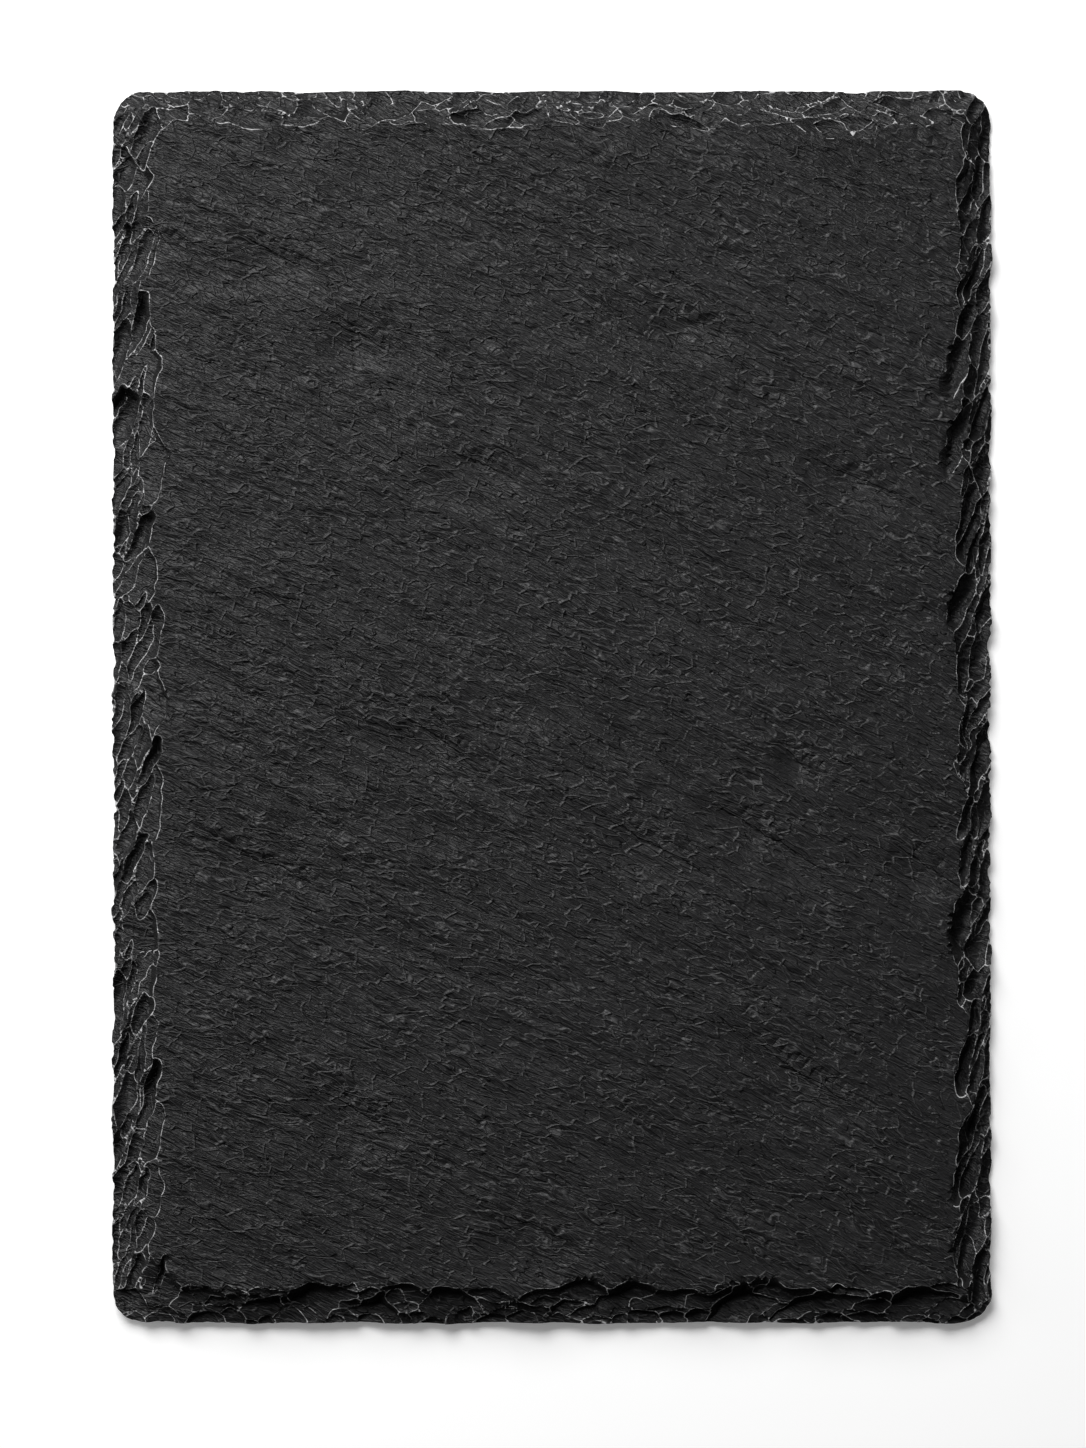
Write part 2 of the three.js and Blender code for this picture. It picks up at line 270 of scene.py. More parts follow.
def outline_place(share):
    """The point at each share of the outline's length, and the direction straight inwards."""
    r = CORNER_RADIUS
    quarter = outline_length() / 4
    walked = (share % 1) * 4 * quarter
    part = np.floor(walked / quarter)
    rest = walked - part * quarter
    rest = np.where(part % 2 == 1, quarter - rest, rest)
    run = HEIGHT / 2 - r
    arc = r * math.pi / 2
    angle = np.clip((rest - run) / r, 0, math.pi / 2)
    x = np.where(rest < run, WIDTH / 2, WIDTH / 2 - r + r * np.cos(angle))
    x = np.where(rest > run + arc, quarter - rest, x)
    y = np.where(rest < run, rest, HEIGHT / 2 - r + r * np.sin(angle))
    flip_x = np.where((part == 1) | (part == 2), -1, 1)
    flip_y = np.where(part >= 2, -1, 1)
    inward = np.arctan2(-np.sin(angle) * flip_y, -np.cos(angle) * flip_x)
    return x * flip_x, y * flip_y, inward


def outline_inset(share):
    """How far the outline is drawn in: two waves round the slab as in the CAD, and nibbles and
    crumbs that are larger on the upright edges."""
    swing = 0.5
    for count, part, start in OUTLINE_WAVES:
        swing = swing + part * np.sin(share * TURN * count + start)
    around = share * outline_length()
    side = np.cos(share * TURN * 2) * 0.5 + 0.5
    long, deep = NIBBLE
    nibbles = deep * smooth_step(0.4, 0.75, rough_noise(around / long, around * 0, 3, 2))
    long, deep = CRUMB
    crumbs = deep * smooth_step(0.45, 0.8, noise(around / long, around * 0, 6))
    return 0.02 + OUTLINE_WANDER * swing + (nibbles + crumbs) * (0.12 + 0.88 * side)


# The plan of the lattice


def corner_curve(share):
    """From the end of a straight run of a corner square to the middle of its arc, by even length."""
    r = CORNER_RADIUS
    square = ring_width(1)
    length = share * (square - r + r * math.pi / 4)
    angle = np.clip((length - (square - r)) / r, 0, math.pi / 4)
    off = np.where(length < square - r, 0, r - r * np.cos(angle))
    along = np.where(length < square - r, length, square - r + r * np.sin(angle))
    return off, along


def ring_width(axis):
    """The width in millimetres of the corner squares along one axis."""
    return CORNER_CELLS * (WIDTH, HEIGHT)[axis] / CELLS[axis]


def lattice_plan():
    """Even points of the rectangle; in the four corner squares, the Coons patch between the two
    straight inner sides and the two halves of the rounded outer side."""
    x = np.linspace(-WIDTH / 2, WIDTH / 2, CELLS[0] + 1)
    y = np.linspace(-HEIGHT / 2, HEIGHT / 2, CELLS[1] + 1)
    x, y = np.meshgrid(x, y)
    wide = ring_width(0)
    deep = ring_width(1)
    s = (np.abs(x) - (WIDTH / 2 - wide)) / wide
    t = (np.abs(y) - (HEIGHT / 2 - deep)) / deep
    corner = (s > 0) & (t > 0)
    s = np.clip(s, 0, 1)
    t = np.clip(t, 0, 1)
    off_x, along_y = corner_curve(t)
    off_y, along_x = corner_curve(s)
    mid_off, mid_along = corner_curve(1.0)
    corner_x = wide - mid_off
    corner_y = deep - mid_off
    scale_x = corner_x / mid_along
    scale_y = corner_y / mid_along
    right_x = wide - off_x
    right_y = along_y * scale_y
    upper_x = along_x * scale_x
    upper_y = deep - off_y
    px = (1 - t) * s * wide + t * upper_x + s * right_x
    px -= s * (1 - t) * wide + s * t * corner_x
    py = t * upper_y + (1 - s) * t * deep + s * right_y
    py -= (1 - s) * t * deep + s * t * corner_y
    x = np.where(corner, np.sign(x) * (WIDTH / 2 - wide + px), x)
    y = np.where(corner, np.sign(y) * (HEIGHT / 2 - deep + py), y)
    return x, y


def draw_in(x, y):
    """Moves plan points inwards by the outline's inset, times 1 less their depth inside the edge
    over INSET_FADE."""
    depth, share, nx, ny = edge_frame(x, y)
    inset = outline_inset(share) * np.clip(1 - depth / INSET_FADE, 0, 1)
    return x - nx * inset, y - ny * inset


# The riven face


def grain(x, y):
    """Plan points turned so that u runs along the grain and v across it."""
    cosine = math.cos(GRAIN_ANGLE)
    sine = math.sin(GRAIN_ANGLE)
    return x * cosine + y * sine, -x * sine + y * cosine


def wave_depth(wave, u, v):
    """Half the depth times (1 plus the sine of v over the pitch), whose phase sways with u, v."""
    pitch, depth, sway, along, across, start = wave
    phase = v / pitch * TURN + sway * np.sin((u / along + v / across) * TURN) + start
    return depth * (1 + np.sin(phase)) / 2


def face_height(x, y):
    """Under the slab's top: the roll and the ripple of the CAD, and two finer families of
    long low swells made of noise stretched along the grain."""
    u, v = grain(x, y)
    bent = v + 3 * noise(u / 23, v / 17, 11)
    depth = wave_depth(ROLL, u, v) + wave_depth(RIPPLE, u, v)
    height = HIGHEST - depth
    for (long, pitch, deep), seed in ((SWELL, 12), (FINE_SWELL, 14)):
        height = height - deep * rough_noise(u / long, bent / pitch, seed, 2)
    return height


def ledge_frame(x, y, ledge):
    """For one ledge: t runs from -1 to 1 along it, d is the distance to its line, above 0 on its
    low side, and the last two point straight across it. Noises of 5.3 and 1.9 mm bend the line."""
    x0, y0, x1, y1 = ledge[:4]
    length = math.hypot(x1 - x0, y1 - y0)
    ux = (x1 - x0) / length
    uy = (y1 - y0) / length
    dx = x - (x0 + x1) / 2
    dy = y - (y0 + y1) / 2
    along = dx * ux + dy * uy
    bow = 1.1 * (noise(along / 5.3 + x0, along * 0, 21) - 0.5)
    bow = bow + 0.5 * (noise(along / 1.9 + y0, along * 0, 22) - 0.5)
    return along / (length / 2), -dx * uy + dy * ux - bow, -uy, ux


def gather_at_ledges(x, y):
    """Draws lattice points towards each ledge's line, so that its step is crisp: the distance d
    to the line becomes reach times (d over reach) to a power that falls to 1 at both ends."""
    reach = 3.4
    depth = edge_frame(x, y)[0]
    for ledge in LEDGES:
        t, d, nx, ny = ledge_frame(x, y, ledge)
        hold = smooth_step(1.25, 0.85, np.abs(t)) * smooth_step(3.0, 9.0, depth)
        power = 1 + 1.6 * hold
        near = np.abs(d) < reach
        share = np.clip(np.abs(d) / reach, 1e-6, 1)
        moved = np.sign(d) * reach * share**power
        shift = np.where(near, moved - d, 0)
        x = x + nx * shift
        y = y + ny * shift
    return x, y


def ledge_cut(x, y):
    """For the deepest ledge at each point: its drop, less with the distance along and away from
    its line as on a double cone, and the distance to its line, above 0 on its low side."""
    cut = np.zeros_like(x)
    away = np.full_like(x, FAR)
    for ledge in LEDGES:
        width, drop = ledge[4:]
        t, d, _, _ = ledge_frame(x, y, ledge)
        reach = np.where(d > 0, width, 2.0)
        own = drop * np.maximum(1 - np.sqrt(t**2 + (d / reach) ** 2), 0)
        away = np.where(own > cut, d, away)
        cut = np.maximum(cut, own)
    return cut, away


def ledge_depth(x, y):
    """Half of each ledge's drop, come to in a step 0.3 mm wide at its line. The finish sharpens
    it in its bump."""
    cut, away = ledge_cut(x, y)
    return 0.5 * cut * smooth_step(-0.15, 0.15, away)


# The flakes


def main_flakes():
    """Columns x, y, direction, half length, reach, floor, dish and hollow of each main flake. Those
    of the upright edges all lean the same way, so they bite deepest towards their upper end. Those
    of the right and lower edges reach in a little less far."""
    across = WIDTH / 2
    up = HEIGHT / 2
    rows = [(-across, at, -LEAN, *size, RAISED["left"]) for at, *size in LEFT_FLAKES]
    rows += [(across, at, math.pi - LEAN, *size, RAISED["right"]) for at, *size in RIGHT_FLAKES]
    rows += [(at, up, -math.pi / 2, *size, RAISED["top"]) for at, *size in TOP_FLAKES]
    rows += [(at, -up, math.pi / 2, *size, RAISED["bottom"]) for at, *size in BOTTOM_FLAKES]
    nip = CORNER_RADIUS * (1 - math.sqrt(0.5))
    for sx, sy, slide, half, reach in CORNER_FLAKES:
        x = sx * (across - nip) + slide * sx * math.sqrt(0.5)
        y = sy * (up - nip) - slide * sy * math.sqrt(0.5)
        rows.append((x, y, math.atan2(-sy, -sx), half, reach, RAISED["corner"]))
    table = np.array(rows)
    index = np.arange(len(table))
    turned = table[:, 2] + pick(-0.16, 0.16, index, 11)
    half = table[:, 3] * 1.3
    shaded = np.clip(np.sin(table[:, 2]) - np.cos(table[:, 2]), 0, 1)
    reach = table[:, 4] * (1.08 - 0.16 * shaded)
    floor = pick(2.8, 4.8, index, 1) + table[:, 5]
    dish = pick(0.5, 1.2, index, 12)
    upright = np.abs(np.cos(table[:, 2]))
    hollow = pick(0.4, 0.9, index, 13) + pick(0.8, 2.2, index, 14) * upright
    return np.stack((table[:, 0], table[:, 1], turned, half, reach, floor, dish, hollow), axis=1)


def rim_flakes(pitch, stray, use, reach, half, floor, dish):
    """Flakes at an even pitch round the rim, each strayed and sized by pick with the uses that
    follow the first. Same columns as the main flakes; deeper and more hollow on the upright
    edges, and longer on the level ones."""
    count = round(outline_length() / pitch)
    index = np.arange(count)
    x, y, inward = outline_place((index + 0.5 + pick(-stray, stray, index, use)) / count)
    upright = np.abs(np.cos(inward))
    reaches = pick(*reach, index, use + 1)
    halves = pick(*half, index, use + 2) * (1.3 - 0.1 * upright)
    floors = pick(*floor, index, use + 3) - 0.9 * upright
    turned = inward - LEAN * upright + pick(-0.2, 0.2, index, use + 4)
    dishes = pick(*dish, index, use + 5)
    hollows = dishes + pick(0.6, 2.0, index, use + 6) * upright
    return np.stack((x, y, turned, halves, reaches, floors, dishes, hollows), axis=1)


def splinters(side, pitch, depth, use):
    """Long narrow troughs along one upright edge, at an even pitch and at any depth inside it. They
    lean the same way as the main flakes, and the ridges between them are long leaning lines."""
    count = round(HEIGHT / pitch)
    index = np.arange(count)
    inside = pick(-1.0, depth, index, use)
    x = side * (WIDTH / 2 - inside)
    y = (index + 0.5 + pick(-0.45, 0.45, index, use + 1)) * pitch - HEIGHT / 2
    turned = (0.0 if side < 0 else math.pi) - LEAN + pick(-0.2, 0.12, index, use + 2)
    half = pick(5.0, 11.0, index, use + 3)
    reach = pick(1.1, 2.6, index, use + 4)
    floor = 0.9 + 0.4 * inside + pick(0, 1.5, index, use + 5)
    dish = pick(1.2, 2.6, index, use + 6)
    hollow = pick(0.8, 2.2, index, use + 7)
    return np.stack((x, y, turned, half, reach, floor, dish, hollow), axis=1)


def lenses(side, pitch, depth, use):
    """Long shallow bowls along one level edge, at an even pitch and at any depth inside it. The
    arrises between them are arcs that cross. Those further inside lie higher."""
    count = round(WIDTH / pitch)
    index = np.arange(count)
    inside = pick(0.0, depth, index, use)
    x = (index + 0.5 + pick(-0.45, 0.45, index, use + 1)) * pitch - WIDTH / 2
    y = side * (HEIGHT / 2 - inside)
    turned = -side * math.pi / 2 + pick(-0.45, 0.45, index, use + 2)
    half = pick(4.0, 9.5, index, use + 3)
    reach = pick(1.5, 3.2, index, use + 4)
    floor = 2.9 - 0.3 * side + (0.42 + 0.12 * side) * inside + pick(0, 1.4, index, use + 5)
    dish = pick(0.5, 1.2, index, use + 6) * (1.3 + 0.5 * side)
    hollow = pick(0.6, 1.5, index, use + 7)
    return np.stack((x, y, turned, half, reach, floor, dish, hollow), axis=1)


def all_flakes():
    """The main flakes; thin scales lifted off between them; a second row below them and the small
    flakes of the rim, both on the level edges; the splinters of the upright edges and the lenses
    of the level ones. The last column is a number of each flake's own."""
    scales = rim_flakes(
        8.2, 0.45, 91, reach=(4.4, 9.4), half=(3.6, 7.6), floor=(6.5, 7.5), dish=(0.1, 0.4)
    )
    second = rim_flakes(
        4.6, 0.4, 2, reach=(2.4, 6.4), half=(3.0, 7.0), floor=(2.9, 5.6), dish=(0.2, 0.6)
    )
    small = rim_flakes(
        3.4, 0.45, 31, reach=(1.0, 3.2), half=(1.6, 4.4), floor=(2.0, 3.4), dish=(0.2, 0.6)
    )
    second = second[np.abs(np.cos(second[:, 2])) < LEVEL]
    small = small[np.abs(np.cos(small[:, 2])) < LEVEL]
    rows = [main_flakes(), scales, second, small]
    rows.append(splinters(side=-1, pitch=1.6, depth=7.6, use=111))
    rows.append(splinters(side=1, pitch=2.0, depth=5.6, use=131))
    rows.append(lenses(side=1, pitch=1.6, depth=7.6, use=151))
    rows.append(lenses(side=-1, pitch=3.4, depth=7.0, use=171))
    table = np.concatenate(rows)
    return np.column_stack((table, np.arange(len(table))))


def flake_height(x, y, flake):
    """The surface one flake leaves, and the distance past its nearest side. It is its floor plus
    dish times (distance inwards over reach) squared plus hollow times (distance aside over half
    length) squared, plus a tilt: each distance times a small slope of the flake's own, to which
    the TILT values add inwards. Its sides are straight lines that touch the ellipse of that reach
    and half length; past each of them it rises by the distance times a slope, which is WALL plus
    STEEPER times how far that side faces the upper left, times a share of its own."""
    cx, cy, inward, half, reach, floor, dish, hollow, own = flake
    dx = x - cx
    dy = y - cy
    ahead = dx * math.cos(inward) + dy * math.sin(inward)
    aside = -dx * math.sin(inward) + dy * math.cos(inward)
    rise = np.zeros_like(x)
    foot = np.full_like(x, -FAR)
    for number, angle in enumerate(SIDES):
        angle = math.radians(angle + pick(-15, 15, own, number + 60))
        across = math.cos(angle) / reach
        along = math.sin(angle) / half
        past = (ahead * across + aside * along - 1) / math.hypot(across, along)
        foot = np.maximum(foot, past)
        facing = inward + math.atan2(along, across) + math.pi
        slope = WALL + STEEPER * max(0.0, math.cos(facing - UPPER_LEFT))
        rise = np.maximum(rise, slope * pick(0.8, 1.25, own, number + 70) * past)
    bowl = floor + dish * (ahead / reach) ** 2 + hollow * (aside / half) ** 2
    upright = abs(math.cos(inward))
    outward = pick(-0.05, 0.12, own, 80) + TILT_UPRIGHT * upright - TILT_LEVEL * math.sin(inward)
    outward = outward + TILT_RIGHT * max(0.0, -math.cos(inward))
    tilt = outward * ahead + pick(-0.22, 0.22, own, 81) * aside
    return bowl + tilt + rise, foot


def broken_plan(x, y):
    """Plan points strayed by noise of 4.5 and 1.7 mm, which breaks the flakes' straight sides."""
    dx = 1.4 * (noise(x / 4.5, y / 4.5, 41) - 0.5) + 0.6 * (noise(x / 1.7, y / 1.7, 42) - 0.5)
    dy = 1.4 * (noise(x / 4.5, y / 4.5, 43) - 0.5) + 0.6 * (noise(x / 1.7, y / 1.7, 44) - 0.5)
    return x + dx, y + dy


def two_lowest(x, y):
    """At each plan point, the lowest and the second lowest of the face, the bevels and every
    flake's surface; the height of the face alone; and how far the point is past the nearest
    side of the lowest flake."""
    face = face_height(x, y) - ledge_depth(x, y)
    first = face.copy()
    second = np.full_like(face, 1e3)
    foot = np.full_like(face, -FAR)
    bx, by = broken_plan(x, y)
    slope = (THICKNESS - BEVEL_FLOOR) / BEVEL_REACH
    insides = (WIDTH / 2 + bx, WIDTH / 2 - bx, HEIGHT / 2 + by, HEIGHT / 2 - by)
    surfaces = [BEVEL_FLOOR + slope * inside for inside in insides]
    for height in surfaces:
        second = np.minimum(second, np.maximum(first, height))
        first = np.minimum(first, height)
    for flake in all_flakes():
        span = 1.25 * max(flake[3], flake[4]) + 4
        near = (np.abs(x - flake[0]) < span) & (np.abs(y - flake[1]) < span)
        height, past = flake_height(bx[near], by[near], flake)
        foot[near] = np.where(height < first[near], past, foot[near])
        second[near] = np.minimum(second[near], np.maximum(first[near], height))
        first[near] = np.minimum(first[near], height)
    return first, second, face, foot


def gradient_move(value, value_x, value_y, on_rim, nx, ny):
    """The move that brings a value to 0: minus the value times its gradient over the gradient
    squared, and on the rim only the part along the rim. Also how far away the 0 is."""
    gx = (value_x - value) / NEARBY
    gy = (value_y - value) / NEARBY
    along = -gx * ny + gy * nx
    gx = np.where(on_rim, -ny * along, gx)
    gy = np.where(on_rim, nx * along, gy)
    steep = np.maximum(gx**2 + gy**2, 1e-6)
    return -value * gx / steep, -value * gy / steep, np.abs(value) / np.sqrt(steep)


def snap_to_arrises(x, y, on_rim, nx, ny):
    """Moves points onto the arris nearest to them: where the two lowest surfaces are level."""
    limit = ARRIS_PULL
    for _ in range(2):
        gaps = []
        for dx, dy in ((0, 0), (NEARBY, 0), (0, NEARBY)):
            low, high, _, _ = two_lowest(x + dx, y + dy)
            gaps.append(high - low)
        move_x, move_y, reach = gradient_move(*gaps, on_rim, nx, ny)
        take = (reach < limit) & (gaps[0] > 1e-4)
        x = np.where(take, x + move_x, x)
        y = np.where(take, y + move_y, y)
        limit *= 0.4
    return x, y, reach


def snap_to_feet(x, y, on_rim, nx, ny):
    """Moves points onto the foot nearest to them: the line where a flake's floor meets a side."""
    past = [two_lowest(x + dx, y + dy)[3] for dx, dy in ((0, 0), (NEARBY, 0), (0, NEARBY))]
    move_x, move_y, reach = gradient_move(*past, on_rim, nx, ny)
    level = np.maximum(np.abs(past[1] - past[0]), np.abs(past[2] - past[0])) < 3 * NEARBY
    take = (reach < FOOT_PULL) & level
    return np.where(take, x + move_x, x), np.where(take, y + move_y, y)


def face_surface(x, y, on_rim):
    """The places and the finished height of the face side, how far each point is from the nearest
    arris, and how far past the foot of a flake it is, kept within FOOT_SPAN."""
    depth, _, nx, ny = edge_frame(x, y)
    band = depth < BAND
    edge = on_rim[band], nx[band], ny[band]
    flat_x, flat_y = snap_to_feet(x[band], y[band], *edge)
    flat_x, flat_y, reach = snap_to_arrises(flat_x, flat_y, *edge)
    x = x.copy()
    y = y.copy()
    x[band] = flat_x
    y[band] = flat_y
    arris = np.full_like(x, FAR)
    arris[band] = reach
    low, _, face, foot = two_lowest(x, y)
    under = np.maximum(face - low, 0)
    crumble = 0.14 * (rough_noise(x / 2.4, y / 2.4, 61, 2) - 0.5) * smooth_step(0, 0.7, under)
    height = np.clip(low + crumble, 0.5, HIGHEST)
    return x, y, height, arris, np.clip(foot, -FOOT_SPAN, FOOT_SPAN)


# The wall and the back


def nick_height(x, y):
    """How high the chips under the rim reach: their height less (ahead over reach) squared and
    (aside over half) squared, never under 0."""
    count = round(outline_length() / 19)
    index = np.arange(count)
    cx, cy, inward = outline_place((index + 0.5 + pick(-0.4, 0.4, index, 7)) / count)
    reach = pick(1.2, 2.6, index, 8)
    half = pick(2, 4.4, index, 9)
    height = pick(0.9, 1.6, index, 10)
    lift = np.zeros_like(x)
    for i in range(count):
        near = (np.abs(x - cx[i]) < 6) & (np.abs(y - cy[i]) < 6)
        dx = x[near] - cx[i]
        dy = y[near] - cy[i]
        ahead = dx * math.cos(inward[i]) + dy * math.sin(inward[i])
        aside = -dx * math.sin(inward[i]) + dy * math.cos(inward[i])
        bowl = (ahead / reach[i]) ** 2 + (aside / half[i]) ** 2
        lift[near] = np.maximum(lift[near], height[i] - bowl)
    return lift


def back_height(x, y):
    """Flat at 0 but for the chips under the rim and a rounding of the last 0.9 mm, 0.25 times (1
    less depth over 0.9) squared."""
    depth = edge_frame(x, y)[0]
    lift = nick_height(*broken_plan(x, y))
    rounding = 0.25 * np.clip(1 - depth / 0.9, 0, 1) ** 2
    return np.maximum(lift, 0) + rounding


def wall_inset(share, height):
    """How far the wall's layers stand back: noise that is long round the slab and low in height."""
    around = share * outline_length()
    layers = rough_noise(around / 7, height / 0.55, 71, 2)
    crumbs = rough_noise(around / 1.6, height / 0.9, 73, 2)
    return 0.3 * layers + 0.22 * crumbs


def rim_walk():
    """Lattice points of the rim, once round anticlockwise from the lower right corner."""
    columns, rows = CELLS
    across = columns + 1
    right = np.arange(rows) * across + columns
    upper = rows * across + np.arange(columns, 0, -1)
    left = np.arange(rows, 0, -1) * across
    lower = np.arange(columns)
    return np.concatenate((right, upper, left, lower))


def wall_rings(top, bottom):
    """Rings of points between the top and the bottom rim: each is a straight blend of the two,
    stood back by the wall's inset, which fades out at both rims."""
    rings = []
    for row in range(1, WALL_ROWS):
        drop = row / WALL_ROWS
        ring = top * (1 - drop) + bottom * drop
        _, share, nx, ny = edge_frame(ring[:, 0], ring[:, 1])
        tall = np.maximum(top[:, 2] - bottom[:, 2], 0.1)
        fade = np.clip(4 * drop * (1 - drop), 0, 1) * np.clip(tall / 1.5, 0, 1)
        inset = wall_inset(share, ring[:, 2]) * fade
        ring[:, 0] -= nx * inset
        ring[:, 1] -= ny * inset
        rings.append(ring)
    return rings


# Triangles


def split_quads(a, b, c, d, height):
    """Two triangles for each quad a, b, c, d, cut along the diagonal that lies higher, so that
    an arris runs along it."""
    along = height[a] + height[c] >= height[b] + height[d]
    first = np.where(along[:, None], np.stack((a, b, c), 1), np.stack((a, b, d), 1))
    second = np.where(along[:, None], np.stack((a, c, d), 1), np.stack((b, c, d), 1))
    return np.concatenate((first, second))


def lattice_triangles(ring, block, height):
    """Fine cells in a ring round the lattice, coarse blocks inside it, and at the border between
    them blocks fanned out from a point inside them to every fine point of their side."""
    columns, rows = CELLS
    across = columns + 1
    left, right, lower, upper = ring
    i, j = np.meshgrid(np.arange(columns), np.arange(rows))
    fine = (i < left) | (i >= columns - right) | (j < lower) | (j >= rows - upper)
    at = (j * across + i)[fine]
    triangles = [split_quads(at, at + 1, at + 1 + across, at + across, height)]
    wide, deep = block
    i, j = np.meshgrid(np.arange(left, columns - right, wide), np.arange(lower, rows - upper, deep))
    i = i.ravel()
    j = j.ravel()
    corner = (i, j), (i + wide, j), (i + wide, j + deep), (i, j + deep)
    a, b, c, d = [row * across + column for column, row in corner]
    sides = (
        (a, b, 1, wide, j == lower),
        (b, c, across, deep, i + wide == columns - right),
        (c, d, -1, wide, j + deep == rows - upper),
        (d, a, -across, deep, i == left),
    )
    border = sides[0][4] | sides[1][4] | sides[2][4] | sides[3][4]
    plain = ~border
    triangles.append(split_quads(a[plain], b[plain], c[plain], d[plain], height))
    hub = a + (deep // 2) * across + wide // 2
    for start, end, step, count, fine_side in sides:
        whole = border & ~fine_side
        triangles.append(np.stack((hub[whole], start[whole], end[whole]), 1))
        for part in range(count):
            near = start[fine_side] + part * step
            triangles.append(np.stack((hub[fine_side], near, near + step), 1))
    return np.concatenate(triangles)


def thin_lines(arris):
    """The distance to the nearest arris, raised to BESIDE_ARRIS where at least three of the four
    lattice neighbours of a point on an arris are on one too, so that the lines stay thin where
    arrises crowd."""
    grid = arris.reshape(CELLS[1] + 1, CELLS[0] + 1)
    on = (grid < ON_ARRIS).astype(int)
    beside = np.zeros_like(on)
    beside[1:-1, 1:-1] = on[:-2, 1:-1] + on[2:, 1:-1] + on[1:-1, :-2] + on[1:-1, 2:]
    return np.where((on == 1) & (beside >= 3), BESIDE_ARRIS, grid).ravel()


def slab_surface():
    """Points, triangles and the finish's values of the whole closed slab, in millimetres."""
    x, y = draw_in(*lattice_plan())
    x, y = gather_at_ledges(x, y)
    rim = rim_walk()
    on_rim = np.zeros(x.size, bool)
    on_rim[rim] = True
    x, y, height, arris, foot = face_surface(x.ravel(), y.ravel(), on_rim)
    face = np.stack((x, y, height), 1)
    lift = back_height(x, y)
    lift = np.where(on_rim, np.minimum(lift, height - 0.4), lift)
    back = np.stack((x, y, lift), 1)
    triangles = [lattice_triangles(FACE_RING, FACE_BLOCK, height)]
    under = lattice_triangles(BACK_RING, BACK_BLOCK, -lift) + len(face)
    triangles.append(under[:, ::-1])
    points = [face, back]
    upper = rim
    base = len(face) + len(back)
    rings = wall_rings(face[rim], back[rim])
    points += rings
    for row in range(WALL_ROWS):
        last = row == WALL_ROWS - 1
        lower = rim + len(face) if last else base + row * len(rim) + np.arange(len(rim))
        quads = (upper, lower, np.roll(lower, -1), np.roll(upper, -1))
        first = np.stack((quads[0], quads[1], quads[2]), 1)
        second = np.stack((quads[0], quads[2], quads[3]), 1)
        triangles += [first, second]
        upper = lower
    points = np.concatenate(points)
    crest = np.full(len(points), FAR)
    crest[: len(face)] = thin_lines(arris)
    # The rim counts as an arris: it takes some of the paler crushed stone and painted highlight.
    crest[rim] = ON_RIM
    side = np.full(len(points), -FOOT_SPAN)
    side[: len(face)] = foot
    # The rim counts as a broken side: it takes the painted shade.
    side[rim] = FOOT_SPAN
    cut = np.zeros(len(points))
    away = np.full(len(points), FAR)
    cut[: len(face)], away[: len(face)] = ledge_cut(x, y)
    triangles = np.concatenate(triangles)
    used, triangles = np.unique(triangles, return_inverse=True)
    values = {"crest": crest[used], "side": side[used], "cut": cut[used], "away": away[used]}
    return points[used], triangles.reshape(-1, 3), values


def soften_arrises(mesh, crest):
    """Takes the sharp mark off every edge that runs along an arris, so that light rolls over it
    as over worn stone. The feet of the flakes stay sharp."""
    ends = np.empty(len(mesh.edges) * 2, dtype=np.int32)
    mesh.edges.foreach_get("vertices", ends)
    along = crest[ends.reshape(-1, 2)].max(axis=1) < ON_ARRIS
    marks = mesh.attributes["sharp_edge"]
    sharp = np.empty(len(mesh.edges), dtype=bool)
    marks.data.foreach_get("value", sharp)
    marks.data.foreach_set("value", sharp & ~along)


def make_slab():
    """The slab as one mesh. Its points keep the distance to the nearest arris, how far up the side
    of a flake they are, and the depth of the nearest ledge and the distance to its line."""
    points, triangles, values = slab_surface()
    mesh = bpy.data.meshes.new("slate_slab")
    mesh.vertices.add(len(points))
    mesh.vertices.foreach_set("co", (points * MM).astype(np.float32).ravel())
    mesh.loops.add(triangles.size)
    mesh.loops.foreach_set("vertex_index", triangles.astype(np.int32).ravel())
    mesh.polygons.add(len(triangles))
    mesh.polygons.foreach_set("loop_start", np.arange(0, triangles.size, 3, dtype=np.int32))
    mesh.update(calc_edges=True)
    mesh.validate()
    mesh.shade_smooth()
    mesh.set_sharp_from_angle(angle=math.radians(30))
    soften_arrises(mesh, values["crest"])
    for name, value in values.items():
        kept = mesh.attributes.new(name, "FLOAT", "POINT")
        kept.data.foreach_set("value", value.astype(np.float32))
    slab = bpy.data.objects.new("slate_slab", mesh)
    bpy.context.collection.objects.link(slab)
    return slab


# The slate's finish


def add(tree, kind, inputs=None, **settings):
    """One node: its settings, then its inputs, each linked or given a value."""
    made = tree.nodes.new(kind)
    for name, value in settings.items():
        setattr(made, name, value)
    for socket, value in (inputs or {}).items():
        if isinstance(value, bpy.types.NodeSocket):
            tree.links.new(value, made.inputs[socket])
        else:
            made.inputs[socket].default_value = value
    return made


def maths(tree, operation, *values):
    """The output of a Math node on the given values."""
    return add(tree, "ShaderNodeMath", dict(enumerate(values)), operation=operation).outputs[0]


def ramp(tree, value, low, high, start=0.0, end=1.0, smooth=True):
    """The value carried from low..high to start..end, held outside it."""
    kind = "SMOOTHSTEP" if smooth else "LINEAR"
    sockets = {"Value": value, "From Min": low, "From Max": high, "To Min": start, "To Max": end}
    return add(tree, "ShaderNodeMapRange", sockets, interpolation_type=kind).outputs[0]


def mixed(tree, value, most, first, second):
    """Two colours mixed by a value times its most."""
    share = maths(tree, "MULTIPLY", value, most)
    made = add(tree, "ShaderNodeMix", {0: share}, data_type="RGBA")
    for index, colour in ((6, first), (7, second)):
        if isinstance(colour, bpy.types.NodeSocket):
            tree.links.new(colour, made.inputs[index])
        else:
            made.inputs[index].default_value = colour
    return made.outputs[2]


